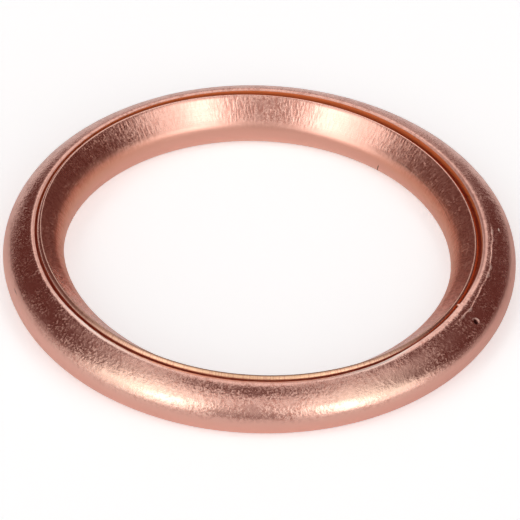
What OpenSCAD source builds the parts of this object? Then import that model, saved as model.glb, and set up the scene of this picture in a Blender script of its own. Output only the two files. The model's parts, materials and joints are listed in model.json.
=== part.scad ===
// Hollow crush washer, rolled as one piece from a thin copper sheet.
// The sheet runs from the inner lip down the funnel-shaped bore side, under the
// ring, round the outside and over the top to the outer lip. The slot between the
// two lips is open all the way round and leads into the hollow of the ring.
// Origin: on the bore's axis, in the plane that the washer rests on. Sizes in mm.

/* [Ring] */
// Outside diameter of the outer curl
outside_d = 40; // [39:0.5:44]
// Diameter of the bore at its narrowest
bore_d = 30.2; // [28:0.2:31.2]
// Thickness of the copper sheet
sheet = 0.4; // [0.25:0.05:0.6]

/* [Bore side] */
// Radius of the rounded inner foot of the section
foot_r = 1.5; // [1:0.1:1.8]
// Height of the straight part of the bore, above the foot
bore_land = 0.3; // [0.2:0.05:0.6]
// Radius of the bend from the bore into the funnel
throat_r = 1.9; // [1.2:0.1:2.2]
// Slope of the funnel, from the vertical
funnel_angle = 45; // [38:1:48]
// Height of the inner lip above the resting plane
lip_h = 4.45; // [4.2:0.05:4.6]

/* [Outer curl] */
// Radius of the outer side of the section
side_r = 1.7; // [1.4:0.05:1.8]
// Direction, above the horizontal, in which the side turns into the flatter shoulder
shoulder_from = 50; // [45:1:55]
// Radius of the shoulder
shoulder_r = 5; // [4.5:0.1:6]
// Depth of the flat dressed on the outer lip
rim_flat = 0.1; // [0.02:0.02:0.2]
// Distance of the outer curl's axis from the bore's axis
curl_offset = 0.16; // [0:0.01:0.2]

/* [Slot] */
// Mean width of the slot between the lips, seen from above
slot = 0.26; // [0.2:0.02:0.4]
// Direction in which the slot is widest, from +X towards +Y
slot_side = 18; // [0:1:359]

/* [Hidden] */
$fn = 180;

out_r = outside_d / 2;
bore_r = bore_d / 2;

// Step by which a bend stands proud of the stretch that carries on from it, so
// that the two faces meet in one clean edge
lead = 0.0005;
// Length by which a cutting shape runs past the edge that it cuts
spare = 1;

// Bore side, in the section about the bore's axis
foot_c = [bore_r + foot_r, foot_r];
land_top = foot_r + bore_land;
throat_c = [bore_r + throat_r, land_top];
funnel_len = (lip_h - land_top - throat_r * sin(funnel_angle)) / cos(funnel_angle);
lip_r = throat_c.x + funnel_len * sin(funnel_angle) - throat_r * cos(funnel_angle);

// Outer curl, in the section about its own axis
side_c = [out_r - side_r, side_r];
shoulder_dir = [cos(shoulder_from), sin(shoulder_from)];
shoulder_c = side_c - (shoulder_r - side_r) * shoulder_dir;
rim_r = lip_r + sheet * cos(funnel_angle) + slot;
rim_h = shoulder_c.y + sqrt(pow(shoulder_r, 2) - pow(rim_r - shoulder_c.x, 2)) - rim_flat;

// The flat underside joins both halves, and each reaches past the middle of it
joint_r = (foot_c.x + side_c.x) / 2;
joint_lap = curl_offset + sheet / 4;

// All that lies behind the bore face, moved back by inset. The ends that stay open
// in the finished section are longer by past.
module behind_bore(inset, past) {
    // foot, a quarter round
    intersection() {
        translate(foot_c) circle(r = foot_r - inset);
        translate(foot_c - [spare + foot_r, spare + foot_r]) square(spare + foot_r);
    }
    // underside
    translate([foot_c.x, inset]) square([joint_r + joint_lap + past - foot_c.x, foot_r - inset]);
    // straight part of the bore
    translate([bore_r + inset, foot_r]) square([throat_r, bore_land]);
    // bend into the funnel
    intersection() {
        translate(throat_c) circle(r = throat_r - inset);
        translate(throat_c - [spare + throat_r, 0]) square(spare + throat_r);
    }
    // funnel
    translate(throat_c) rotate(90 - funnel_angle)
        translate([0, -past]) square([funnel_len + past, throat_r - inset - lead + past]);
}

// All that lies inside the outer face of the curl, moved in by inset, with its open
// ends longer by past
module inside_curl(inset, past) {
    // underside
    translate([joint_r - joint_lap - past, inset])
        square([side_c.x - joint_r + joint_lap + past, side_r - inset]);
    // side, a half round
    intersection() {
        translate(side_c) circle(r = side_r - inset);
        translate([side_c.x, -spare]) square([side_r + spare, 2 * (side_r + spare)]);
    }
    // shoulder, from the direction where it leaves the side to the slot
    intersection() {
        translate(shoulder_c) circle(r = shoulder_r - inset - lead);
        polygon([
            side_c,
            side_c + 2 * side_r * shoulder_dir,
            [rim_r - past, 2 * rim_h],
            [rim_r - past, side_r]
        ]);
    }
}

// Section of the bore side, from the middle of the underside up to the inner lip
module bore_section() {
    difference() {
        behind_bore(0, 0);
        behind_bore(sheet, spare);
    }
}

// Section of the outer curl, from the underside over the top to the outer lip
module curl_section() {
    difference() {
        inside_curl(0, 0);
        inside_curl(sheet, spare);
        // flat on the outer lip
        translate([0, rim_h]) square([out_r, out_r]);
    }
}

// The whole ring, one piece of sheet
module washer_ring() {
    color("#c98a74") union() {
        rotate_extrude() bore_section();
        rotate([0, 0, slot_side]) translate([curl_offset, 0, 0]) rotate_extrude() curl_section();
    }
}

washer_ring();
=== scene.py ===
"""Finish of a copper crush washer: the rolled ring with its marks, on a plain photo stage."""

import json
import math
from types import SimpleNamespace

import bpy
import numpy as np
from bpy.props import FloatProperty, FloatVectorProperty, IntProperty, PointerProperty
from mathutils import Matrix, Vector


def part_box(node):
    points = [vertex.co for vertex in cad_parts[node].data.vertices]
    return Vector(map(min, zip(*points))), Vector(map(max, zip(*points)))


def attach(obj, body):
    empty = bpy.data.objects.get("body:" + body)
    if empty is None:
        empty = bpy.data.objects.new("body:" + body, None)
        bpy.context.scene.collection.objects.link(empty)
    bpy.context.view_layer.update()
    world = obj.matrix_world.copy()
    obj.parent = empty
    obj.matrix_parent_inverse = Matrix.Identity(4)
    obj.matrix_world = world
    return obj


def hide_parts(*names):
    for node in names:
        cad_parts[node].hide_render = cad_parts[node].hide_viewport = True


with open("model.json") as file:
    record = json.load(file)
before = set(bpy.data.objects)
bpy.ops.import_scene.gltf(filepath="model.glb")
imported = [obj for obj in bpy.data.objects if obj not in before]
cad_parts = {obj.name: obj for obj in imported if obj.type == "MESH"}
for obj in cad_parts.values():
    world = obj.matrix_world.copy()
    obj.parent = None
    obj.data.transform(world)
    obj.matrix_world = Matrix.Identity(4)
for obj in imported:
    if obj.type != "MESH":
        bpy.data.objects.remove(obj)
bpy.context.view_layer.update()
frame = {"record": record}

bl_info = {
    "name": "Copper crush washer",
    "version": (1, 0, 0),
    "blender": (4, 5, 0),
    "location": "3D View > Sidebar > Washer",
    "description": "Builds the finished surface of a rolled copper crush washer and its photo stage",
    "category": "Object",
}

MM = 0.001
NODE = "washer_ring"
BODY = "root"
FRONT = -math.pi / 2
BLACK = (0.0, 0.0, 0.0)
WHITE = (1.0, 1.0, 1.0)

# Sizes that the frame gives: the node's box, the middle of the outer curl, and the bore in millimetres
LOW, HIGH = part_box(NODE)
CURL_MIDDLE = (LOW + HIGH) / 2
BORE_R = next(m["dims"]["r_mm"] for m in frame["record"]["mounts"] if m["name"] == "bore")

# Rows of the section: funnel, throat, foot and underside of the face and of the hollow side
FACE_ROWS = (10, 18, 14, 6)
BACK_ROWS = (6, 5, 7, 4)
# Rows of the outer curl's side and shoulder, of its hollow side, and of the outer and the inner cut edge
SIDE_ROWS = 34
SHOULDER_ROWS = 49
INNER_ROWS = 16
LIP_ROWS = 6
CUT_ROWS = 9
# Last rows of the bore side that stay flat, first rows of the hollow side that belong to the outer lip's
# end, with its painted reflection, and last rows of the inner cut edge that have the painted shade line
FLAT_ROWS = 8
END_ROWS = 2
EDGE_ROWS = 2

# Sections: steps of their density, and its extra height and half width at a small mark
FINE_STEPS = 20001
MARK_DENSITY = 5.0
MARK_HALF = math.radians(1.6)
# Orders of the rim's unevenness, and turn of the sheet's unevenness along the face
RIM_ORDERS = (3, 5, 17, 29, 41, 67, 83, 97)
WAVE_TURN = 7.0
# Power of the share of the rise by which the outer curl follows the rim's dip
DIP_POWER = 1.3
# Grain: direction of the surface where it starts at both sides, its fade, and what both sides add to that
GRAIN_START = math.radians(28)
GRAIN_FADE = math.radians(24)
GRAIN_SWING = math.radians(12)
# Half width of the painted shade on the lower edge, round the ring
DUSK_HALF = math.radians(45)
# Sines of the place by which a line wanders: height, length a radian and shift
CREASE_WANDER = ((0.05 * MM, 0.83 * MM, 0.0), (0.03 * MM, 0.29 * MM, 1.0))
TOOL_WANDER = ((0.03 * MM, 2.3 * MM, 0.0), (0.02 * MM, 0.9 * MM, 0.0))
# Products of two sines of the place by which a line comes and goes: both lengths and the second's shift
CREASE_BREAKS = (0.31 * MM, 0.47 * MM, 2.0)
TOOL_BREAKS = (1.7 * MM, 4.1 * MM, 0.0)
TOOL_DASHES = (0.43 * MM, 1.9 * MM, 0.0)
# Radius at which noise that is drawn out round the ring has its size
MIDDLE_R = 17.5 * MM
# Scales of the finer and the coarser noise, in those of the speckles
FINE_SCALE = 1.7
CLOUD_SCALE = 0.22

# Fades, from the first value to the second: by depth below the even shoulder, and by height
FLAT_FADE = (0.004 * MM, 0.05 * MM)
# By height: the painted reflection on the foot, lighter towards its bottom
FOOT_REFLECTION_FADE = (0.3 * MM, 1.3 * MM)
SCRATCH_FROM = (0.3 * MM, 0.6 * MM)
SCRATCH_TO = (1.3 * MM, 1.7 * MM)
FUNNEL_FADE = (0.1 * MM, 1.1 * MM)
# Fade by height of the painted shade at the throat, in heights of the straight bore's top
THROAT_SHADE_FADE = (0.3, 1.3)
# Fades by the direction of the surface
WAVE_FADE = (-1.4, -0.6)
DUSK_FADE = (0.3, 0.9)
# Fades by the sine of the direction round the ring
LIFT_BACK = (0.2, 0.9)
# The painted shade at the throat is weaker at the back
THROAT_SHADE_BACK = (0.55, 1.0)
# Fades at both ends of a mark, in its half angles
FOLD_ENDS = (0.4, 1.35)
PRESS_ENDS = (0.7, 1.3)
CREASE_ENDS = (0.65, 1.0)
WALL_ENDS = (0.7, 1.0)
# Fades by the value of a noise or a zone
CLOUD_GRAIN = (0.3, 0.6)
CLOUD_SPECKS = (0.25, 0.7)
CLOUD_DULL = (0.35, 0.65)
FINE_SPECKS = (0.5, 0.66)
DULL_SPOTS = (0.46, 0.6)
EDGE_SPOTS = (0.48, 0.66)
DARK_MARKS_SEEN = (0.2, 0.6)
SHINE_SEEN = (0.1, 0.6)


def length(name, description, size):
    """A size, given in millimetres and kept in metres."""
    return FloatProperty(name=name, description=description, default=size * MM, unit="LENGTH", precision=6)


def angle(name, description, degrees):
    """An angle, given in degrees and kept in radians."""
    return FloatProperty(name=name, description=description, default=math.radians(degrees), subtype="ANGLE")


def share(name, description, default):
    """A plain number."""
    return FloatProperty(name=name, description=description, default=default, precision=4)


def colour(name, description, default):
    """A colour in linear red, green and blue."""
    return FloatVectorProperty(name=name, description=description, default=default, subtype="COLOR", size=3)


class WasherRingSettings(bpy.types.PropertyGroup):
    """Sizes of the rolled sheet."""

    sheet: length("Sheet", "Thickness of the copper sheet", 0.4)
    outside_r: length("Outside radius", "Radius of the outer curl", (HIGH.x - LOW.x) / 2 / MM)
    bore_r: length("Bore radius", "Radius of the bore at its narrowest", BORE_R)
    foot_r: length("Foot radius", "Radius of the rounded inner foot", 1.5)
    bore_land: length("Bore land", "Height of the straight part of the bore", 0.3)
    funnel: angle("Funnel angle", "Least slope of the funnel, from the vertical", 43.5)
    funnel_swing: angle("Funnel swing", "Extra slope of the funnel at both sides", 13)
    low_side: angle("Low side", "Direction in which the inner lip is lowest", 0)
    lip_r: length("Lip radius", "Mean radius of the inner lip", 16.86)
    lip_h: length("Lip height", "Mean height of the inner lip", HIGH.z / MM - 0.4)
    lip_shift: length("Lip shift", "Shift of the inner lip away from its low side", 0.01)
    lip_dip: length("Lip dip", "Distance by which the inner lip dips on its low side", 0.449)
    land_dip: length("Land dip", "Distance by which the straight bore ends lower on the low side", 0.4)
    side_r: length("Side radius", "Radius of the outer side of the section", 1.7)
    shoulder_from: angle("Shoulder start", "Direction in which the side turns into the shoulder", 50)
    shoulder_r: length("Shoulder radius", "Radius of the shoulder", 5.0)
    rim_r: length("Rim radius", "Mean inner radius of the flat on the outer lip", 17.404)
    rim_shift: length("Rim shift", "Shift of the rim towards the lip's low side", 0.034)
    rim_h: length("Rim height", "Height at which the flat cuts the even shoulder", 3.93)
    rim_lift: length("Rim lift", "Mean lift of the rim above the even shoulder", 0.085)
    rim_dip: length("Rim dip", "Distance by which the rim dips on its low side", 0.263)
    rim_low: angle("Rim low side", "Direction in which the rim is lowest", -28)
    rim_soft: length("Rim softness", "Softness of the step from the shoulder to the flat", 0.06)
    rim_round: length("Rim rounding", "Depth to which the rim's inner edge is rounded", 0.08)
    rim_round_w: length("Rim rounding width", "Width over which the rim's inner edge is rounded", 0.2)
    dip_from: length("Dip start", "Height on the outer curl from which it follows the rim's dip", 2.2)
    curl_offset: length("Curl offset", "Distance of the outer curl's axis from the bore's axis",
                        CURL_MIDDLE.xy.length / MM)
    slot_side: angle("Slot side", "Direction in which the slot is widest",
                     math.degrees(math.atan2(CURL_MIDDLE.y, CURL_MIDDLE.x)))
    back_lift: length("Back lift", "Height by which the flat is lifted at the back", 0.1)
    lip_flare: length("Lip flare", "Extra thickness of the inner lip's end at both sides", 0.09)
    lip_crown: length("Lip crown", "Height by which the inner cut edge is crowned", 0.09)
    outer_crown: length("Outer crown", "Height by which the outer cut edge is crowned", 0.036)
    rounds: IntProperty(name="Stations round", description="Number of sections round the ring", default=540)


class WasherMarkSettings(bpy.types.PropertyGroup):
    """Dents, scratches, tool marks and places of the finish."""

    seed: IntProperty(name="Seed", description="Seed of the small unevenness", default=7)
    wave: length("Wave", "Height of the slow unevenness of the sheet", 0.006)
    rim_nicks: length("Rim nicks", "Unevenness of the flat on the outer lip", 0.006)
    dent_at: angle("Dent place", "Direction of the dent on the shoulder", -28.2)
    dent_up: angle("Dent height", "Direction of the surface at the dent, above the horizontal", 56)
    dent_w: length("Dent width", "Radius of the dent", 0.22)
    dent_deep: length("Dent depth", "Depth of the dent", 0.07)
    nick_at: angle("Nick place", "Direction of the nick on the shoulder", 5.5)
    nick_up: angle("Nick height", "Direction of the surface at the nick, above the horizontal", 60)
    nick_w: length("Nick width", "Half width of the nick", 0.07)
    nick_long: length("Nick length", "Half length of the nick, round the ring", 0.2)
    nick_deep: length("Nick depth", "Depth of the nick", 0.02)
    crease_at: angle("Crease place", "Direction of the middle of the pressed crease", -13)
    crease_half: angle("Crease reach", "Half of the angle that the crease covers", 23)
    crease_up: angle("Crease height", "Direction of the surface at the crease, above the horizontal", 67.4)
    crease_w: length("Crease width", "Half width of the crease", 0.08)
    crease_high: length("Crease step", "Height of the crease", 0.03)
    burr_at: angle("Burr place", "Direction of the burr that reaches across the slot", -26.5)
    burr_half: angle("Burr reach", "Half of the angle that the burr covers", 0.3)
    burr_long: length("Burr length", "Distance by which the burr reaches into the slot", 0.2)
    fold_at: angle("Fold place", "Direction of the middle of the fold that narrows the slot", -34)
    fold_half: angle("Fold reach", "Half of the angle that the fold covers", 19)
    fold_deep: length("Fold depth", "Distance by which the fold narrows the slot", 0.11)
    press_at: angle("Press place", "Direction of the middle of the stretch that is pressed narrower", -114)
    press_half: angle("Press reach", "Half of the angle that the pressed stretch covers", 34)
    press_deep: length("Press depth", "Distance by which the pressed stretch narrows the slot", 0.08)
    press_lift: share("Press lift", "Share of its depth by which the pressed stretch is higher", 0.15)
    tool_up: angle("Tool line height", "Direction of the surface at the tool line on the outside", 31)
    tool_w: length("Tool line width", "Half width of the tool lines", 0.1)
    tool_deep: length("Tool line depth", "Depth of the tool line on the outside", 0.01)
    scratch_at: angle("Scratch place", "Direction of the scratch on the foot", 52)
    scratch_w: length("Scratch width", "Half width of the scratch on the foot", 0.06)
    scratch_lean: share("Scratch lean", "Share of the height by which the scratch leans", 0.3)
    # How dark the scratch on the foot is drawn
    scratch_dark: share("Scratch darkness", "Dirt in the scratch on the foot", 0.6)
    wall_at: angle("Wall line place", "Direction of the middle of the tool line on the bore side", 32)
    wall_half: angle("Wall line reach", "Half of the angle that the tool line on the bore side covers", 26)
    wall_up: length("Wall line height", "Height of the tool line on the bore side", 2.5)
    # How dark the tool line on the bore side is drawn
    wall_dark: share("Wall line darkness", "Dirt in the tool line on the bore side", 0.36)
    # Stretches of the rim that are painted bright as highlights, and are also smoother
    polish_sheen_left: angle("Rubbed place, left", "Direction of the left rubbed stretch of the rim", -132)
    polish_sheen_right: angle("Rubbed place, right", "Direction of the right rubbed stretch of the rim", -52)
    polish_sheen_half: angle("Rubbed reach", "Half of the angle that a rubbed stretch covers", 17)
    polish_sheen_share: share("Rubbed bare", "Share of bare metal in the middle of a rubbed stretch", 0.85)
    calm_left: angle("Calm place, left", "Direction of the left smooth place on the funnel", 111)
    calm_right: angle("Calm place, right", "Direction of the right smooth place on the funnel", 66)
    calm_half: angle("Calm reach", "Half of the angle that a smooth place on the funnel covers", 12)
    calm_loss: share("Calm loss", "Share of the streaks that a smooth place lacks", 0.85)
    # Places of the painted highlights on the outer curl, where the grain is also weaker
    highlight_left: angle("Worn place, left", "Direction of the left worn place on the outer curl", -116)
    highlight_right: angle("Worn place, right", "Direction of the right worn place on the outer curl", -63)
    highlight_half: angle("Worn reach", "Half of the angle round the ring that a worn place covers", 14)
    highlight_up: angle("Worn height", "Direction of the surface at the worn places, above the horizontal", 42)
    highlight_high: angle("Worn height reach", "Half of the angle up the side that a worn place covers", 18)
    gloss_up: length("Gloss end", "Height by which the glossy funnel ends higher at both sides", 0.9)
    matt: share("Matt sides", "Share of the gloss that the funnel lacks at both sides", 0.46)
    matt_low: share("Matt low side", "Extra share of it on the lip's low side", 0.12)
    under_burr: length("Under burr", "Distance by which the outer lip's end hangs into the hollow", 0.35)
    # Reach of the front stretch: golden painted reflection, painted shade line, full shear marks on the cut
    # edges
    fresh_and_sheen_half: angle("Fresh edge reach", "Half of the angle over which the inner cut edge is fresh", 52)


class WasherCopperSettings(bpy.types.PropertyGroup):
    """Finish of the copper."""

    clean: colour("Clean copper", "Colour of the smooth metal", (0.93, 0.515, 0.42))
    # Also the colour of the painted shade on the lower edge
    brown: colour("Browned copper", "Colour of the dull spots", (0.62, 0.25, 0.19))
    # Also the colour of the painted reflection on the foot
    bright: colour("Bright copper", "Colour of the bright specks", (1.0, 0.68, 0.56))
    # Painted shade: darker copper where the bore turns into the funnel
    throat_shade: colour("Warm copper", "Colour of the bore where it turns into the funnel", (0.74, 0.33, 0.20))
    # Painted reflection: golden tint of the cut edges at the front of the ring
    cut: colour("Cut edge", "Colour of the fresh sheared edges", (0.86, 0.53, 0.33))
    # Cut edges away from the front, without the golden painted reflection
    blush: colour("Old cut edge", "Colour of the sheared edges away from the front", (0.97, 0.58, 0.47))
    # Painted shade: dark line along the front of the inner lip
    edge_shade: colour("Edge line", "Colour of the line along the front of the inner lip", (0.26, 0.15, 0.12))
    # Painted reflection: deep orange copper for light bounced inside the slot
    slot_reflection: colour("Outer cut edge", "Colour of the end of the outer lip, inside the slot", (0.85, 0.30, 0.11))
    # Colour of the darker marks: the dent, the tool lines and the scratch
    dark_marks: colour("Dirt", "Colour of the dirt in the dent", (0.10, 0.03, 0.025))
    # Bare metal in the nick, also the colour of the painted highlights on the rim and on the marks
    bare_and_highlight: colour("Bare metal", "Colour of bare metal in fresh nicks", (1.0, 0.86, 0.76))
    # Painted highlight: cream copper on the outer curl at the front
    cream: colour("Worn copper", "Colour of the worn places at the front", (0.96, 0.72, 0.53))
    inner_glow: colour("Inside light", "Light left inside the hollow by more reflections than are traced",
                       (0.022, 0.006, 0.004))
    # Painted reflection: saturated orange for light bounced inside the hollow
    inner: colour("Inside", "Colour of the hollow side of the sheet", (0.95, 0.42, 0.25))
    streak_tint: share("Streak tint", "Share of browned copper in the streaks", 0.75)
    # Share of the cream copper of the painted highlights
    highlight_tint: share("Worn tint", "Share of worn copper on the worn places", 0.6)
    speck_tint: share("Speck tint", "Share of bright copper on the specks", 0.5)
    # Painted reflection: the foot lighter towards its bottom edge
    foot_reflection_tint: share("Foot tint", "Share of bright copper on the foot", 0.6)
    # Share of the painted shade at the throat
    throat_shade_tint: share("Warm tint", "Share of warm copper at the throat", 0.65)
    # Share of browned copper that paints shade on the lower edge
    lower_shade_tint: share("Lower edge tint", "Share of browned copper on the lower edge", 0.55)
    cut_tint: share("Cut edge tint", "Share of browned copper in the spots of the cut edges", 0.55)
    smooth_rough: share("Smooth roughness", "Roughness of the smooth lower edges", 0.44)
    grain_rough: share("Grain roughness", "Roughness of the grained sheet", 0.2)
    speck_rough: share("Speck roughness", "Extra roughness of the specks", 0.32)
    bare_rough: share("Bare roughness", "Extra roughness of bare metal in nicks", 0.48)
    edge_rough: share("Edge roughness", "Roughness of the cut edges", 0.42)
    edge_gloss: share("Edge gloss", "Roughness that the cut edges lack away from the front", 0.24)
    bore_rough: share("Bore roughness", "Extra roughness of the lower bore side", 0.02)
    polish_rough: share("Rubbed roughness", "Roughness of the rubbed stretches of the rim", 0.14)
    ember_rough: share("End roughness", "Roughness of the end of the outer lip", 0.8)
    hollow_rough: share("Hollow roughness", "Roughness of the hollow side", 0.6)
    grain_size: length("Grain size", "Size of the speckles", 0.28)
    grain_high: length("Grain height", "Height of the speckles", 0.022)
    streak_w: length("Streak width", "Width of the streaks down the funnel", 0.2)
    streak_long: length("Streak length", "Length of the streaks down the funnel", 0.5)
    streak_high: length("Streak height", "Height of the streaks", 0.028)
    turn_w: length("Turning width", "Width of the fine lines round the ring", 0.11)
    turn_long: length("Turning length", "Length of the fine lines round the ring", 3.2)
    turn_high: length("Turning height", "Height of the fine lines", 0.006)
    shear_w: length("Shear width", "Width of the marks across the cut edges", 0.12)


class WasherStageSettings(bpy.types.PropertyGroup):
    """Camera, floor, and room with its light panels."""

    camera_up: angle("Camera elevation", "Angle at which the camera looks down", 40.44)
    camera_roll: angle("Camera roll", "Turn of the camera about its line of sight", 1.88)
    camera_far: length("Camera distance", "Distance of the camera from the resting point", 356)
    lens: FloatProperty(name="Lens", description="Focal length in millimetres", default=315.0, unit="CAMERA")
    shift_x: share("Shift across", "Sideways shift of the picture, in picture widths", 0.0055)
    shift_y: share("Shift up", "Upward shift of the picture, in picture widths", 0.0192)
    floor_half: length("Floor size", "Half of the side of the floor", 1500)
    floor_gap: length("Floor gap", "Distance of the floor below the resting plane", 0.01)
    floor: colour("Floor", "Colour of the floor", (0.90, 0.90, 0.90))
    floor_glow: share("Floor white", "Plain white that is added to the lit floor for the camera", 0.4)
    floor_mirror: share("Mirrored white", "Share of the added white that the metal mirrors", 0.1)
    room: colour("Room", "Light of the dark room", (0.115, 0.045, 0.04))


# Light panels of the room: setting, name and light, then in degrees the azimuth and half width, the lowest
# and highest elevation and the softness
PANELS = (
    ("left_low", "Left box, lower half", 1.07, -138, 28, -12, 26, 9),
    ("left_high", "Left box, upper half", 1.42, -138, 28, 26, 64, 9),
    ("right_low", "Right box, lower half", 1.34, -43, 28, -12, 26, 9),
    ("right_high", "Right box, upper half", 1.15, -43, 28, 26, 64, 9),
    ("left_core", "Middle of the left box", 1.6, -128, 8, 12, 52, 8),
    ("right_core", "Middle of the right box", 1.9, -52, 8, 12, 52, 8),
    ("front_low", "Front, near the floor", 0.24, -90, 19, -12, 22, 9),
    ("front_high", "Front, higher up", 0.45, -90, 19, 22, 64, 9),
    ("back_low", "Back, lower half", 0.45, 90, 18, -12, 26, 9),
    ("back_high", "Back, upper half", 1.0, 90, 18, 26, 64, 9),
    ("west_low", "Left side, near the floor", 0.32, 178, 16, -12, 20, 9),
    ("east_low", "Right side, near the floor", 0.12, 1, 16, -12, 20, 9),
    ("west_high", "Left side, high up", 0.29, 178, 30, 52, 66, 8),
    ("east_high", "Right side, high up", 0.41, 1, 30, 52, 66, 8),
    ("above", "Ring under the ceiling", 0.96, 0, 360, 65, 75, 6),
)
WasherStageSettings.__annotations__.update({
    setting: share(name, "Light of this panel of the room", light) for setting, name, light, *_ in PANELS
})


class Wire:
    """A shader socket that takes Python's arithmetic: each operation adds a Math node."""

    def __init__(self, shader, socket):
        self.shader = shader
        self.socket = socket

    def math(self, operation, *values):
        return self.shader.node("ShaderNodeMath", {"operation": operation}, dict(enumerate(values)))

    def __add__(self, other):
        return self.math("ADD", self, other)

    def __sub__(self, other):
        return self.math("SUBTRACT", self, other)

    def __rsub__(self, other):
        return self.math("SUBTRACT", other, self)

    def __mul__(self, other):
        return self.math("MULTIPLY", self, other)

    def __truediv__(self, other):
        return self.math("DIVIDE", self, other)

    __radd__ = __add__
    __rmul__ = __mul__

    def most(self, other):
        return self.math("MAXIMUM", self, other)

    def size(self):
        return self.math("ABSOLUTE", self)

    def step(self, low, high):
        """Smooth step from 0 at low to 1 at high."""
        settings = {"interpolation_type": "SMOOTHSTEP"}
        return self.shader.node("ShaderNodeMapRange", settings, {0: self, 1: low, 2: high, 3: 0.0, 4: 1.0})


class Shader:
    """The node tree of a material or of the world."""

    def __init__(self, owner):
        owner.use_nodes = True
        self.tree = owner.node_tree
        self.tree.nodes.clear()

    def node(self, kind, settings=None, sockets=None, output=0):
        """Adds a node, sets its settings first, then its sockets' values or links, and wraps an output."""
        made = self.tree.nodes.new(kind)
        for name, value in (settings or {}).items():
            setattr(made, name, value)
        for key, value in (sockets or {}).items():
            if isinstance(value, Wire):
                self.tree.links.new(value.socket, made.inputs[key])
            else:
                made.inputs[key].default_value = value
        return Wire(self, made.outputs[output]) if made.outputs else None

    def vector(self, operation, *values, output=0):
        return self.node("ShaderNodeVectorMath", {"operation": operation}, dict(enumerate(values)), output)

    def attribute(self, name):
        return self.node("ShaderNodeAttribute", {"attribute_name": name}, output="Fac")

    def noise(self, place, scale, detail, rough):
        sockets = {"Vector": place, "Scale": scale, "Detail": detail, "Roughness": rough}
        return self.node("ShaderNodeTexNoise", None, sockets, "Fac")

    def mix(self, factor, a, b):
        """Mixes two colours."""
        sockets = {"Factor": factor, 6: rgba(a), 7: rgba(b)}
        return self.node("ShaderNodeMix", {"data_type": "RGBA"}, sockets, 2)


def rgba(value):
    """A colour with its alpha, or a socket as it is."""
    return value if isinstance(value, Wire) else (*value, 1.0)


def smooth(low, high, x):
    """Smooth step of an array: 0 below low, 1 above high, a cubic between them."""
    t = np.clip((x - low) / (high - low), 0.0, 1.0)
    return t * t * (3.0 - 2.0 * t)


def bell(x, width):
    """Bell curve of height 1 and the given half width."""
    return np.exp(-((x / width) ** 2))


def turn_from(phi, middle):
    """Angle from a direction, between minus and plus half a turn."""
    return (phi - middle + np.pi) % (2 * np.pi) - np.pi


def stretch(phi, middle, half, ends):
    """Stretch round the ring: 1 up to the first of the ends, in half angles, and 0 from the second on."""
    return 1.0 - smooth(*ends, np.abs(turn_from(phi, middle)) / half)


def ripple(random, phi, orders):
    """Sum of cosines of whole orders round the ring with random phases, about 1 high."""
    phases = random.uniform(0, 2 * np.pi, len(orders))
    weights = random.uniform(0.5, 1.0, len(orders))
    waves = weights[:, None] * np.cos(np.asarray(orders)[:, None] * phi[None, :] + phases[:, None])
    return waves.sum(0) / np.sqrt(len(orders))


def wander(across, waves):
    """Sum of sines of the place round the ring, each with its height, length and shift."""
    return sum(high * np.sin(across / long + shift) for high, long, shift in waves)


def beat(across, first, second, shift):
    """Product of two sines of the place round the ring, which comes and goes unevenly."""
    return np.sin(across / first) * np.sin(across / second + shift)


def sections(ring, marks):
    """Directions of the sections: even round the ring, and closer together at the small marks.

    The directions are where the running sum of a density takes even steps; the density is 1 plus a
    bell at each mark.
    """
    fine = np.linspace(-np.pi, np.pi, FINE_STEPS)
    density = np.ones_like(fine)
    for middle in (marks.dent_at, marks.nick_at, marks.burr_at, marks.scratch_at):
        density += MARK_DENSITY * bell(turn_from(fine, middle), MARK_HALF)
    total = np.concatenate([[0.0], np.cumsum((density[1:] + density[:-1]) / 2)])
    steps = np.arange(ring.rounds) / ring.rounds * total[-1]
    return np.interp(steps, total, fine)


def bore_top(ring, phi):
    """Height of the straight bore's top, which dips by the cosine of the direction from the low side."""
    return ring.foot_r + ring.bore_land - ring.land_dip * np.cos(phi - ring.low_side)[None, :]


def bore_line(ring, phi, counts):
    """Face of the bore side, from the inner lip to the outer end of the underside, one column a section.

    A straight funnel, the arc of the throat, the quarter ellipse of the foot and the flat underside. The
    lip's place, the top of the straight bore and the foot's height follow the cosine of the direction
    from the low side, and the funnel's slope follows the cosine's fourth power. The throat's radius and
    the funnel's length are those that join the two: the rise times the sine of the slope, less the run
    times its cosine, over 1 less the cosine. The underside stretches to the curl's axis.
    """
    funnel_n, throat_n, foot_n, under_n = counts
    side = np.cos(phi - ring.low_side)[None, :]
    slope = ring.funnel + ring.funnel_swing * side ** 4
    lip_r = ring.lip_r - ring.lip_shift * side
    lip_z = ring.lip_h - ring.lip_dip * side
    land_top = bore_top(ring, phi)
    run = lip_r - ring.bore_r
    rise = lip_z - land_top
    throat_r = (rise * np.sin(slope) - run * np.cos(slope)) / (1.0 - np.cos(slope))
    funnel_long = (run - throat_r * (1.0 - np.cos(slope))) / np.sin(slope)
    down = np.linspace(0.0, 1.0, funnel_n, endpoint=False)[:, None] * funnel_long
    bend = np.linspace(1.0, 0.0, throat_n)[:, None] * slope
    foot_a = np.linspace(0.0, np.pi / 2, foot_n)[:, None]
    foot_top = land_top - ring.bore_land
    reach = np.linspace(0.0, 1.0, under_n + 1)[1:-1, None]
    offset = ring.curl_offset * np.cos(phi - ring.slot_side)[None, :]
    under = ring.outside_r - ring.side_r + offset - ring.bore_r - ring.foot_r
    r = np.concatenate([
        lip_r - down * np.sin(slope),
        ring.bore_r + throat_r * (1.0 - np.cos(bend)),
        ring.bore_r + ring.foot_r * (1.0 - np.cos(foot_a)) + 0 * side,
        ring.bore_r + ring.foot_r + reach * under,
    ])
    z = np.concatenate([
        lip_z - down * np.cos(slope),
        land_top + throat_r * np.sin(bend),
        foot_top * (1.0 - np.sin(foot_a)),
        0 * reach * under,
    ])
    return r, z


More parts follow.
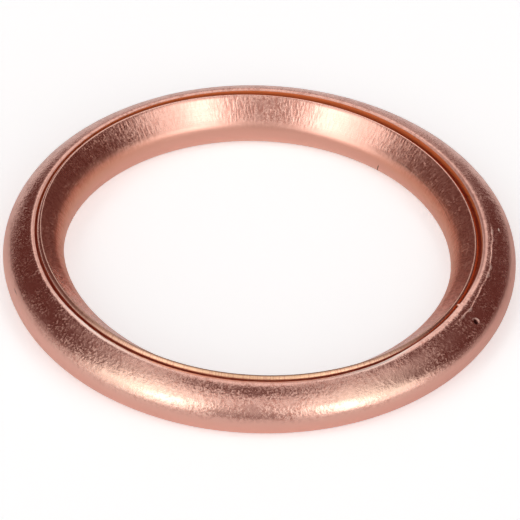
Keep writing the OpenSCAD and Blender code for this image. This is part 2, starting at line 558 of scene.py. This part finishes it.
def curl_line(ring, phi, inset, angles, top=None):
    """Points of the outer curl, moved in by inset: the arc of the side and the arc of the shoulder.

    Each row has one direction of the surface. The side turns about its own centre up to the shoulder's
    start, and from there the shoulder turns about its own; both move with the curl's axis. The flat on
    the rim is a soft minimum of the shoulder and its top. Above the start of the dip the height follows
    the rim's dip, by a power of the share of the rise.
    """
    side_c = np.array([ring.outside_r - ring.side_r, ring.side_r])
    turn = np.array([math.cos(ring.shoulder_from), math.sin(ring.shoulder_from)])
    shoulder_c = side_c - (ring.shoulder_r - ring.side_r) * turn
    on_side = angles < ring.shoulder_from
    centre_r = np.where(on_side, side_c[0], shoulder_c[0])
    centre_z = np.where(on_side, side_c[1], shoulder_c[1])
    radius = np.where(on_side, ring.side_r, ring.shoulder_r) - inset
    r = centre_r + radius * np.cos(angles) + ring.curl_offset * np.cos(phi - ring.slot_side)[None, :]
    z = centre_z + radius * np.sin(angles)
    if top is not None:
        z = (z + top - np.hypot(z - top, ring.rim_soft)) / 2
    rise = np.clip((z + inset - ring.dip_from) / (ring.rim_h - ring.dip_from), 0.0, None)
    lift = ring.rim_lift - ring.rim_dip * np.cos(phi - ring.rim_low)[None, :]
    return r, z + rise ** DIP_POWER * lift


def shoulder_angle(ring, radius, inset):
    """Direction of the shoulder's surface, moved in by inset, at a radius from the curl's axis."""
    centre_r = ring.outside_r - ring.side_r - (ring.shoulder_r - ring.side_r) * math.cos(ring.shoulder_from)
    return np.arccos((radius - centre_r) / (ring.shoulder_r - inset))


def path_at(ring, angles):
    """Distance along the outer curl from its widest place, positive upwards."""
    low = np.minimum(angles, ring.shoulder_from)
    return ring.side_r * low + ring.shoulder_r * (angles - low)


def dent_mark(marks, across, up):
    """Dent: a darker hollow with a raised ring round it, with a painted highlight above, towards the back."""
    away = np.hypot(across, up)
    hollow = bell(away, marks.dent_w)
    raised = bell(away - 1.7 * marks.dent_w, 0.5 * marks.dent_w)
    # painted highlight on the upper, back side of the raised ring
    bright = bell(away - 1.5 * marks.dent_w, 0.3 * marks.dent_w)
    above = smooth(0.0, 1.0, (across + up) / marks.dent_w)
    return marks.dent_deep * (0.3 * raised - hollow), hollow, 0.4 * above * bright


def nick_mark(marks, across, up):
    """Nick: a short dash of bare metal."""
    dash = bell(across, marks.nick_long) * bell(up, marks.nick_w)
    return -marks.nick_deep * dash, 0 * dash, dash


def crease_mark(marks, phi, across, up):
    """Crease: a ragged raised line that fades out at both ends, with a groove of half its height below."""
    ends = stretch(phi, marks.crease_at, marks.crease_half, CREASE_ENDS)[None, :]
    up = up + wander(across, CREASE_WANDER)
    groove = bell(up + 0.2 * MM, 0.12 * MM)
    height = marks.crease_high * ends * (bell(up, marks.crease_w) - 0.5 * groove)
    ragged = 0.5 + 0.5 * beat(across, *CREASE_BREAKS)
    # painted highlight along the crease's crest
    bare_and_highlight = 0.4 * ragged * ends * bell(up, 2.0 * marks.crease_w)
    return height, 0 * bare_and_highlight, bare_and_highlight


def tool_mark(marks, across, up):
    """Tool line: a groove of uneven depth, short faint darker dashes, and a painted highlight below it."""
    up = up + wander(across, TOOL_WANDER)
    broken = 0.6 + 0.4 * beat(across, *TOOL_BREAKS)
    dashes = 0.5 + 0.5 * beat(across, *TOOL_DASHES)
    groove = broken * bell(up, marks.tool_w)
    # painted highlight on the groove's lower edge
    below = broken * bell(up + 1.6 * marks.tool_w, marks.tool_w)
    return -marks.tool_deep * groove, 0.5 * dashes * groove, 0.25 * below


def curl_marks(ring, marks, phi, angles):
    """Marks on the outer curl: sums of heights along the normal, darkening, bare metal, painted highlight."""
    path = path_at(ring, angles)

    def across(at):
        return ring.outside_r * turn_from(phi, at)[None, :]

    def up(at):
        return path - path_at(ring, np.float64(at))

    found = (
        dent_mark(marks, across(marks.dent_at), up(marks.dent_up)),
        nick_mark(marks, across(marks.nick_at), up(marks.nick_up)),
        crease_mark(marks, phi, across(0.0), up(marks.crease_up)),
        tool_mark(marks, across(0.0), up(marks.tool_up)),
    )
    return [sum(parts) for parts in zip(*found)]


def close_ring(r, z, phi):
    """Vertices and quads of a closed section carried round a closed ring."""
    rows, columns = r.shape
    points = np.stack([r * np.cos(phi), r * np.sin(phi), z], -1).reshape(-1, 3)
    index = np.arange(rows * columns).reshape(rows, columns)
    below = np.roll(index, -1, 0)
    quads = np.stack([index, below, np.roll(below, -1, 1), np.roll(index, -1, 1)], -1).reshape(-1, 4)
    return points, quads


def crowned(start, end, out, crown, count):
    """Cut edge between two rows of points, crowned outwards.

    The crown follows 1 minus the fourth power of the place, which runs from minus 1 to 1 across the edge.
    """
    u = (1.0 - np.cos(np.linspace(0.0, np.pi, count + 2)[1:-1])) / 2
    lift = crown * (1.0 - np.abs(2.0 * u - 1.0) ** 4)
    return [start[k][None, :] + u[:, None] * (end[k] - start[k])[None, :] + lift[:, None] * out[k][None, :]
            for k in (0, 1)]


def section_steps(r, z):
    """Steps from row to row along the section, in radius and height, and their lengths."""
    step_r = np.gradient(r, axis=0)
    step_z = np.gradient(z, axis=0)
    return step_r, step_z, np.hypot(step_r, step_z)


def moved_out(r, z, distance):
    """Rows of a face, moved along its normal, out of the sheet."""
    step_r, step_z, run = section_steps(r, z)
    return r + distance * step_z / run, z - distance * step_r / run


def rim_edge(ring, marks, phi, random):
    """Height and inner radius of the outer lip's flat, and the distance by which marks narrow the slot.

    The fold, the pressed stretch and the back lift the flat, and the burr only reaches into the slot.
    """
    height = ring.rim_h + marks.rim_nicks * ripple(random, phi, RIM_ORDERS)
    burr = marks.burr_long * bell(turn_from(phi, marks.burr_at), marks.burr_half)
    fold = marks.fold_deep * stretch(phi, marks.fold_at, marks.fold_half, FOLD_ENDS)
    press = marks.press_deep * stretch(phi, marks.press_at, marks.press_half, PRESS_ENDS)
    height += fold + marks.press_lift * press + ring.back_lift * smooth(*LIFT_BACK, np.sin(phi))
    radius = ring.rim_r + ring.rim_shift * np.cos(phi - ring.low_side)
    radius = radius - ring.curl_offset * np.cos(phi - ring.slot_side)
    return height, radius, burr + fold + press


def curl_angles(ring, phi, rim_r):
    """Directions of the surface on the rows of the outer curl: even up the side, then even to the rim."""
    side = np.linspace(-np.pi / 2, ring.shoulder_from, SIDE_ROWS, endpoint=False)
    shoulder = np.linspace(ring.shoulder_from, shoulder_angle(ring, rim_r, 0.0), SHOULDER_ROWS)
    return np.concatenate([side[:, None] + 0 * phi[None, :], shoulder])


def curl_face(ring, marks, phi, angles, rim_h, narrow):
    """Face of the outer curl with its flat and its marks, and its zones.

    The marks fade out on the flat. A bell of the distance from the rim's inner edge rounds the edge off
    and moves it into the slot.
    """
    even_z = curl_line(ring, phi, 0.0, angles)[1]
    r, z = curl_line(ring, phi, 0.0, angles, rim_h[None, :])
    flat = smooth(*FLAT_FADE, even_z - z)
    height, dark_marks, bare_and_highlight = curl_marks(ring, marks, phi, angles)
    r += height * (1.0 - flat) * np.cos(angles)
    z += height * (1.0 - flat) * np.sin(angles)
    inside = bell(r - r[-1], ring.rim_round_w)
    z -= ring.rim_round * inside
    r -= narrow * inside
    # painted highlight on two stretches of the rim, which also have less grain
    polish_sheen = flat * rim_sheen(marks, phi)
    zones = {
        "polish": polish_sheen,
        "grain": grain_zone(phi, angles, flat) * (1.0 - polish_sheen),
        # darkening of the dent and the tool line
        "dark_marks": dark_marks,
        # bare metal of the nick, and painted highlights of the dent, the crease and the tool line
        "bare_and_highlight": bare_and_highlight,
        # painted shade on the lower edge
        "dusk": lower_shade_zone(phi, angles),
        # painted highlights at the front, which also have less grain
        "worn": worn_highlight_zone(marks, phi, angles),
    }
    return r, z, zones


def sheet_waves(marks, phi, random, bore_n, angles):
    """Slow unevenness of the face along its normal.

    For k of 2, 3 and 5, a sum of cosines of the orders k, k + 2 and 2 k + 3 round the ring, times a cosine
    along the section. The underside has none of it, and up the shoulder it fades out.
    """
    place = np.linspace(0.0, WAVE_TURN, bore_n + len(angles))[:, None]
    wave = sum(marks.wave * ripple(random, phi, (k, k + 2, 2 * k + 3))[None, :] * np.cos(place * k / 3)
               for k in (2, 3, 5))
    taken = np.concatenate([
        np.ones(bore_n - FLAT_ROWS),
        np.zeros(FLAT_ROWS),
        smooth(*WAVE_FADE, angles[:SIDE_ROWS, 0]),
        np.linspace(1.0, 0.0, SHOULDER_ROWS),
    ])
    return wave * taken[:, None]


def hollow_side(ring, marks, phi, rim_r):
    """Hollow side of the sheet, from the outer lip to the inner one, one sheet behind the even face.

    The outer lip's end hangs into the hollow, and the inner lip's end is thicker at both sides, by the
    fourth power of the cosine of the direction.
    """
    bore_r, bore_z = moved_out(*bore_line(ring, phi, BACK_ROWS), -ring.sheet)
    angles = np.linspace(-np.pi / 2, shoulder_angle(ring, rim_r, ring.sheet), INNER_ROWS)
    curl_r, curl_z = curl_line(ring, phi, ring.sheet, angles)
    r = np.concatenate([bore_r, curl_r])[::-1]
    z = np.concatenate([bore_z, curl_z])[::-1]
    z[0] -= marks.under_burr
    r[-1] += ring.lip_flare * np.cos(phi - ring.low_side) ** 4
    return r, z


def ring_surface(ring, marks):
    """The whole sheet as a closed section: face, outer cut edge, hollow side and inner cut edge.

    Returns the rows of radius and height, the directions of the sections and the zones of the finish.
    """
    random = np.random.default_rng(marks.seed)
    phi = sections(ring, marks)
    rim_h, rim_r, narrow = rim_edge(ring, marks, phi, random)
    bore_r, bore_z = bore_line(ring, phi, FACE_ROWS)
    angles = curl_angles(ring, phi, rim_r)
    curl_r, curl_z, curl_zones = curl_face(ring, marks, phi, angles, rim_h, narrow)
    face_r = np.concatenate([bore_r, curl_r])
    face_z = np.concatenate([bore_z, curl_z])
    step_r, step_z, run = section_steps(face_r, face_z)
    face_r, face_z = moved_out(face_r, face_z, sheet_waves(marks, phi, random, len(bore_r), angles))
    back_r, back_z = hollow_side(ring, marks, phi, rim_r)

    inward = (-np.ones_like(phi), np.zeros_like(phi))
    upward = (-step_r[0] / run[0], -step_z[0] / run[0])
    lip_r, lip_z = crowned(
        (face_r[-1], face_z[-1]), (back_r[0], back_z[0]), inward, ring.outer_crown, LIP_ROWS)
    cut_r, cut_z = crowned(
        (back_r[-1], back_z[-1]), (face_r[0], face_z[0]), upward, ring.lip_crown, CUT_ROWS)
    r = np.concatenate([face_r, lip_r, back_r, cut_r])
    z = np.concatenate([face_z, lip_z, back_z, cut_z])

    face_n = len(face_r)
    end_n = LIP_ROWS + END_ROWS
    full = np.ones_like(r)
    along = np.concatenate([np.cumsum(run.mean(1)), np.zeros(len(r) - face_n)])
    # Front of the ring: golden painted reflection, painted shade line, full shear marks, rougher cut edges
    fresh = bell(turn_from(phi, FRONT), marks.fresh_and_sheen_half) * full
    zones = whole_zones(r.shape, (
        (0, {"along": along[:, None] * full, "fresh": fresh}),
        (0, bore_zones(ring, marks, phi, bore_z)),
        (len(bore_r), curl_zones),
        # end of the outer lip inside the slot, in the painted reflection colour
        (face_n, {"slot_reflection": full[:end_n]}),
        (face_n + end_n, {"hollow": full[:len(back_r) - END_ROWS]}),
        (len(r) - CUT_ROWS, {"sheared": full[:CUT_ROWS]}),
        # painted shade line along the front of the inner lip
        (len(r) - EDGE_ROWS, {"edge": fresh[:EDGE_ROWS]}),
    ))
    return r, z, phi, zones


def whole_zones(shape, parts):
    """Zones of the whole section: each part gives its first row and its zones, which are 0 elsewhere."""
    zones = {}
    for first, values in parts:
        for name, rows in values.items():
            whole = zones.setdefault(name, np.zeros(shape))
            whole[first:first + len(rows)] += rows
    return zones


def bore_zones(ring, marks, phi, z):
    """Zones of the bore side: lower bore, glossy funnel, painted reflection, painted shade, streaks, marks.

    The funnel is less glossy at both sides, by the square of the cosine of the direction.
    """
    side = np.cos(phi - ring.low_side)[None, :]
    glossy = funnel_zone(ring, phi, z, marks.gloss_up)
    return {
        "bore": 1.0 - glossy,
        "funnel": glossy * (1.0 - (marks.matt + marks.matt_low * side) * side ** 2),
        # painted reflection, lighter towards the bottom of the foot
        "pale": 1.0 - smooth(*FOOT_REFLECTION_FADE, z),
        # painted shade, darker towards the throat
        "throat_shade": throat_shade_zone(ring, phi, z) * (1.0 - 0.7 * glossy),
        "streak": funnel_zone(ring, phi, z, 0.0) * uneven(marks, phi),
        # darker scratch and tool line
        "dark_marks": bore_dark_marks(ring, marks, phi, z),
    }


def bore_dark_marks(ring, marks, phi, z):
    """Darker marks of the bore side: a leaning scratch on the foot and a tool line higher up."""
    across = ring.bore_r * turn_from(phi, marks.scratch_at)[None, :]
    scratch = bell(across + marks.scratch_lean * (z - ring.foot_r / 2), marks.scratch_w)
    scratch = scratch * smooth(*SCRATCH_FROM, z) * (1.0 - smooth(*SCRATCH_TO, z))
    reach = stretch(phi, marks.wall_at, marks.wall_half, WALL_ENDS)[None, :]
    line = reach * bell(z - marks.wall_up, marks.tool_w)
    return marks.scratch_dark * scratch + marks.wall_dark * line


def grain_zone(phi, angles, flat):
    """Grain: on the outer curl it fades in above the smooth lower edge, which is higher at both sides.

    Its start and its fade follow the fourth power of the cosine of the direction. The flat has half of it.
    """
    start = (GRAIN_START * np.cos(phi) ** 4)[None, :]
    fade = (GRAIN_FADE + GRAIN_SWING * np.cos(phi) ** 4)[None, :]
    return smooth(start, start + fade, angles) * (1.0 - 0.5 * flat)


def worn_highlight_zone(marks, phi, angles):
    """Painted highlights on the outer curl: the product of a bell round the ring and a bell up the side."""
    around = sum(bell(turn_from(phi, at), marks.highlight_half) for at in (marks.highlight_left, marks.highlight_right))
    return around[None, :] * bell(angles - marks.highlight_up, marks.highlight_high)


def lower_shade_zone(phi, angles):
    """Painted shade on the curl's lower edge: a bell of the direction round +X, fading out up the side."""
    return bell(turn_from(phi, 0.0), DUSK_HALF)[None, :] * (1.0 - smooth(*DUSK_FADE, angles))


def funnel_zone(ring, phi, z, up):
    """Funnel: from the inner lip down to the top of the straight bore, and less far down at both sides.

    Its lower end lies higher by up times the fourth power of the cosine of the direction.
    """
    start = bore_top(ring, phi) + up * np.cos(phi - ring.low_side)[None, :] ** 4
    return smooth(start + FUNNEL_FADE[0], start + FUNNEL_FADE[1], z)


def throat_shade_zone(ring, phi, z):
    """Painted shade, fading in from the foot to the throat, and weaker by 0.6 at the back."""
    top = bore_top(ring, phi)
    back = smooth(*THROAT_SHADE_BACK, np.sin(phi))[None, :]
    return smooth(THROAT_SHADE_FADE[0] * top, THROAT_SHADE_FADE[1] * top, z) * (1.0 - 0.6 * back)


def rim_sheen(marks, phi):
    """Share of the painted highlight on the rim: two stretches painted in the bare-metal colour."""
    left = bell(turn_from(phi, marks.polish_sheen_left), marks.polish_sheen_half)
    right = bell(turn_from(phi, marks.polish_sheen_right), marks.polish_sheen_half)
    return (marks.polish_sheen_share * np.maximum(left, right))[None, :]


def uneven(marks, phi):
    """Share of the streaks on the funnel: low at the two smooth places."""
    calm = sum(bell(turn_from(phi, at), marks.calm_half) for at in (marks.calm_left, marks.calm_right))
    return (1.0 - marks.calm_loss * np.minimum(calm, 1.0))[None, :]


def mesh_object(name, points, quads, zones):
    """Mesh object of the points and quads, smooth-shaded, with one float attribute a zone."""
    mesh = bpy.data.meshes.new(name)
    mesh.vertices.add(len(points))
    mesh.vertices.foreach_set("co", points.astype(np.float32).ravel())
    mesh.loops.add(quads.size)
    mesh.loops.foreach_set("vertex_index", quads.astype(np.int32).ravel())
    mesh.polygons.add(len(quads))
    mesh.polygons.foreach_set("loop_start", np.arange(0, quads.size, 4, dtype=np.int32))
    mesh.polygons.foreach_set("use_smooth", np.ones(len(quads), dtype=bool))
    for zone, values in zones.items():
        layer = mesh.attributes.new(zone, "FLOAT", "POINT")
        layer.data.foreach_set("value", values.astype(np.float32).ravel())
    mesh.update(calc_edges=True)
    mesh.validate()
    made = bpy.data.objects.new(name, mesh)
    bpy.context.scene.collection.objects.link(made)
    return made


def drawn_noise(shader, around, width, up, rough):
    """Noise with its own size round the ring, and with up as its place along the section."""
    lift = shader.node("ShaderNodeCombineXYZ", None, {2: up})
    place = shader.vector("MULTIPLY_ADD", around, (MIDDLE_R / width,) * 3, lift)
    return shader.noise(place, 1.0, 2.0, rough)


def copper_noise(shader, look, along):
    """Noises of the copper: speckles, finer and coarser ones, streaks, fine lines and shear marks."""
    place = shader.node("ShaderNodeTexCoord", output="Object")
    around = shader.vector("NORMALIZE", shader.vector("MULTIPLY", place, (1.0, 1.0, 0.0)))
    return SimpleNamespace(
        speckle=shader.noise(place, 1.0 / look.grain_size, 3.0, 0.6),
        fine=shader.noise(place, FINE_SCALE / look.grain_size, 2.0, 0.5),
        cloud=shader.noise(place, CLOUD_SCALE / look.grain_size, 2.0, 0.5),
        streaks=drawn_noise(shader, around, look.streak_w, along / look.streak_long, 0.5),
        lines=drawn_noise(shader, around, look.turn_long, along / look.turn_w, 0.5),
        shears=drawn_noise(shader, around, look.shear_w, along, 0.6),
    )


def copper_relief(look, zone, noise):
    """Height of the bump: grain, streaks with some of the speckles, fine lines and marks of the shears.

    Half of the grain comes and goes with the clouds, and the places of the painted highlights have 0.3 less
    of it. The marks of the shears are full on the front stretch of the cut edge, and 0.35 of that elsewhere.
    """
    grained = zone.grain * (0.5 + 0.5 * noise.cloud.step(*CLOUD_GRAIN)) * (1 - 0.3 * zone.worn)
    relief = grained * (noise.speckle + 0.6 * noise.fine) * look.grain_high
    drawn = noise.streaks * look.streak_high + noise.speckle * (0.35 * look.grain_high)
    relief = relief + zone.streak * drawn
    relief = relief + (1 - zone.sheared) * noise.lines * look.turn_high
    return relief + zone.sheared * (0.35 + 0.65 * zone.fresh) * noise.shears * look.streak_high


def copper_colour(shader, look, zone, noise, spots, specks, bare):
    """Colour: clean copper, browned in the dull spots and streaks, and one layer a zone on top of it."""
    clouded = 0.3 + 0.5 * noise.cloud.step(*CLOUD_DULL)
    dull = spots * noise.speckle.step(*DULL_SPOTS) * clouded
    dull = dull.most(zone.streak * noise.streaks.step(*DULL_SPOTS) * look.streak_tint)
    # Cut edges: golden painted reflection at the front, browned spots, and the painted shade line
    cut = shader.mix(zone.fresh, look.blush, look.cut)
    cut = shader.mix(noise.shears.step(*EDGE_SPOTS) * look.cut_tint, cut, look.brown)
    cut = shader.mix(zone.edge, cut, look.edge_shade)
    layers = (
        # Dull specks weaker at the painted highlights
        (dull * (1 - 0.6 * zone.worn), look.brown),
        # Painted highlights: cream copper
        (zone.worn * look.highlight_tint, look.cream),
        (specks * look.speck_tint, look.bright),
        # Painted reflection on the foot
        (zone.pale * look.foot_reflection_tint, look.bright),
        # Painted shade at the throat
        (zone.throat_shade * look.throat_shade_tint, look.throat_shade),
        # Painted shade on the lower edge
        (zone.dusk * look.lower_shade_tint, look.brown),
        # Painted highlight on the rim, in the bare-metal colour
        (zone.polish, look.bare_and_highlight),
        (zone.sheared, cut),
        # Painted reflection of light bounced in the hollow
        (zone.hollow, look.inner),
        # Painted reflection of light bounced in the slot
        (zone.slot_reflection, look.slot_reflection),
        # Darker marks: the dent, the tool lines and the scratch
        (zone.dark_marks.step(*DARK_MARKS_SEEN), look.dark_marks),
        # Bare metal of the nick, and painted highlights of the dent, the crease and the tool line
        (bare, look.bare_and_highlight),
    )
    whole = look.clean
    for part, tint in layers:
        whole = shader.mix(part, whole, tint)
    return whole


def copper_rough(look, zone, specks, bare):
    """Roughness: that of the smooth lower edges, moved by each zone towards the zone's own."""
    own = (
        (zone.grain.most(zone.funnel), look.grain_rough),
        (zone.sheared, look.edge_rough),
        (zone.polish, look.polish_rough),
        (zone.hollow, look.hollow_rough),
        (zone.slot_reflection, look.ember_rough),
    )
    rough = look.smooth_rough
    for part, value in own:
        rough = rough + part * (value - look.smooth_rough)
    rough = rough + specks * look.speck_rough + bare * look.bare_rough + zone.bore * look.bore_rough
    return rough - zone.sheared * (1 - zone.fresh) * look.edge_gloss


def rolled_copper(look, zones):
    """Soft copper: speckled grain outside, streaks down the funnel, fine lines round the ring.

    It reads the zones of the mesh, which are attributes.
    """
    material = bpy.data.materials.new("rolled_copper")
    shader = Shader(material)
    zone = SimpleNamespace(**{name: shader.attribute(name) for name in zones})
    noise = copper_noise(shader, look, zone.along)
    spots = zone.grain.most(0.8 * zone.streak)
    specks = spots * noise.fine.step(*FINE_SPECKS) * noise.cloud.step(*CLOUD_SPECKS)
    # Bare metal and painted highlights of the marks, which are also rougher
    bare = zone.bare_and_highlight.step(*SHINE_SEEN)
    bump = {"Strength": 1.0, "Distance": 1.0, "Height": copper_relief(look, zone, noise)}
    copper = shader.node("ShaderNodeBsdfPrincipled", None, {
        "Base Color": copper_colour(shader, look, zone, noise, spots, specks, bare),
        "Metallic": 1.0,
        "Roughness": copper_rough(look, zone, specks, bare),
        "Normal": shader.node("ShaderNodeBump", None, bump, "Normal"),
        "Emission Color": shader.mix(zone.hollow, BLACK, look.inner_glow),
        "Emission Strength": 1.0,
    })
    shader.node("ShaderNodeOutputMaterial", None, {"Surface": copper})
    return material


class WASHER_OT_ring(bpy.types.Operator):
    """Build the rolled copper ring with its slot, dents and tool marks"""

    bl_idname = "washer.ring"
    bl_label = "Rolled ring"

    def execute(self, context):
        r, z, phi, zones = ring_surface(context.scene.washer_ring, context.scene.washer_marks)
        if not np.isfinite(r).all() or not np.isfinite(z).all():
            raise RuntimeError("the section can't be built at these sizes")
        points, quads = close_ring(r, z, phi)
        ring = mesh_object("rolled_ring", points, quads, zones)
        ring.data.materials.append(rolled_copper(context.scene.washer_copper, zones))
        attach(ring, BODY)
        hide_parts(NODE)
        return {"FINISHED"}


def room_light(stage):
    """World: a dark room with soft panels, each a window of azimuth and elevation with soft edges."""
    world = bpy.data.worlds.new("studio_room")
    bpy.context.scene.world = world
    shader = Shader(world)
    way = shader.node("ShaderNodeTexCoord", output="Generated")
    x, y, z = (shader.vector("DOT_PRODUCT", way, axis, output="Value") for axis in np.eye(3).tolist())
    azimuth = y.math("ARCTAN2", y, x)
    elevation = z.math("ARCSINE", z)
    panels = 0.0
    for setting, _, _, *places in PANELS:
        middle, half, low, high, soft = np.radians(places).tolist()
        off = azimuth.math("WRAP", azimuth - middle, math.pi, -math.pi).size()
        across = 1 - off.step(half - soft, half + soft)
        upright = elevation.step(low - soft, low + soft) * (1 - elevation.step(high - soft, high + soft))
        panels = across * upright * getattr(stage, setting) + panels
    light = shader.mix(panels, stage.room, WHITE)
    light.socket.node.clamp_factor = False
    background = shader.node("ShaderNodeBackground", None, {"Color": light, "Strength": 1.0})
    shader.node("ShaderNodeOutputWorld", None, {"Surface": background})


def pale_floor(stage):
    """Floor of a pale matt sheet: plain white is added to it for the camera, and it keeps the shadow."""
    half = stage.floor_half
    corners = np.array([[-half, -half], [half, -half], [half, half], [-half, half]])
    corners = np.column_stack([corners, np.full(4, -stage.floor_gap)])
    floor = mesh_object("floor", corners, np.array([[0, 1, 2, 3]]), {})
    material = bpy.data.materials.new("pale_floor")
    shader = Shader(material)
    camera = shader.node("ShaderNodeLightPath", output="Is Camera Ray")
    glossy = shader.node("ShaderNodeLightPath", output="Is Glossy Ray")
    clear = shader.node("ShaderNodeLightPath", output="Is Transmission Ray")
    white = camera.most(glossy.most(clear) * stage.floor_mirror)
    matt = shader.node("ShaderNodeBsdfDiffuse", None, {"Color": rgba(stage.floor)})
    none, plain = (shader.node("ShaderNodeEmission", None, {"Color": rgba(WHITE), "Strength": strength})
                   for strength in (0.0, stage.floor_glow))
    added = shader.node("ShaderNodeMixShader", None, {0: white, 1: none, 2: plain})
    surface = shader.node("ShaderNodeAddShader", None, {0: matt, 1: added})
    shader.node("ShaderNodeOutputMaterial", None, {"Surface": surface})
    floor.data.materials.append(material)


def photo_camera(stage):
    """Camera at the photograph's angle: it looks at the resting point, and is turned by its roll."""
    data = bpy.data.cameras.new("photo_camera")
    data.lens = stage.lens
    data.shift_x = stage.shift_x
    data.shift_y = stage.shift_y
    camera = bpy.data.objects.new("photo_camera", data)
    bpy.context.scene.collection.objects.link(camera)
    back = Vector((0.0, -math.cos(stage.camera_up), math.sin(stage.camera_up)))
    level = Vector((1.0, 0.0, 0.0))
    upright = back.cross(level)
    right = math.cos(stage.camera_roll) * level + math.sin(stage.camera_roll) * upright
    up = back.cross(right)
    turn = Matrix((right, up, back)).transposed().to_4x4()
    camera.matrix_world = Matrix.Translation(stage.camera_far * back) @ turn
    bpy.context.scene.camera = camera


class WASHER_OT_stage(bpy.types.Operator):
    """Set up the camera, the pale floor, and the room with its light panels"""

    bl_idname = "washer.stage"
    bl_label = "Photo stage"

    def execute(self, context):
        stage = context.scene.washer_stage
        context.scene.view_settings.view_transform = "Standard"
        photo_camera(stage)
        pale_floor(stage)
        room_light(stage)
        return {"FINISHED"}


class WASHER_PT_panel(bpy.types.Panel):
    """Steps that build the washer"""

    bl_idname = "WASHER_PT_panel"
    bl_label = "Crush washer"
    bl_space_type = "VIEW_3D"
    bl_region_type = "UI"
    bl_category = "Washer"

    def draw(self, context):
        for operator in OPERATORS:
            self.layout.operator(operator.bl_idname)
        for group in SETTINGS:
            settings = getattr(context.scene, group)
            box = self.layout.box()
            for name in settings.__annotations__:
                box.prop(settings, name)


SETTINGS = {
    "washer_ring": WasherRingSettings,
    "washer_marks": WasherMarkSettings,
    "washer_copper": WasherCopperSettings,
    "washer_stage": WasherStageSettings,
}
OPERATORS = (WASHER_OT_ring, WASHER_OT_stage)
CLASSES = (*SETTINGS.values(), *OPERATORS, WASHER_PT_panel)


def register():
    for cls in CLASSES:
        bpy.utils.register_class(cls)
    for name, group in SETTINGS.items():
        setattr(bpy.types.Scene, name, PointerProperty(type=group))


def unregister():
    for name in SETTINGS:
        delattr(bpy.types.Scene, name)
    for cls in reversed(CLASSES):
        bpy.utils.unregister_class(cls)


def main():
    register()
    bpy.ops.washer.ring()
    bpy.ops.washer.stage()


if __name__ == "__main__":
    main()
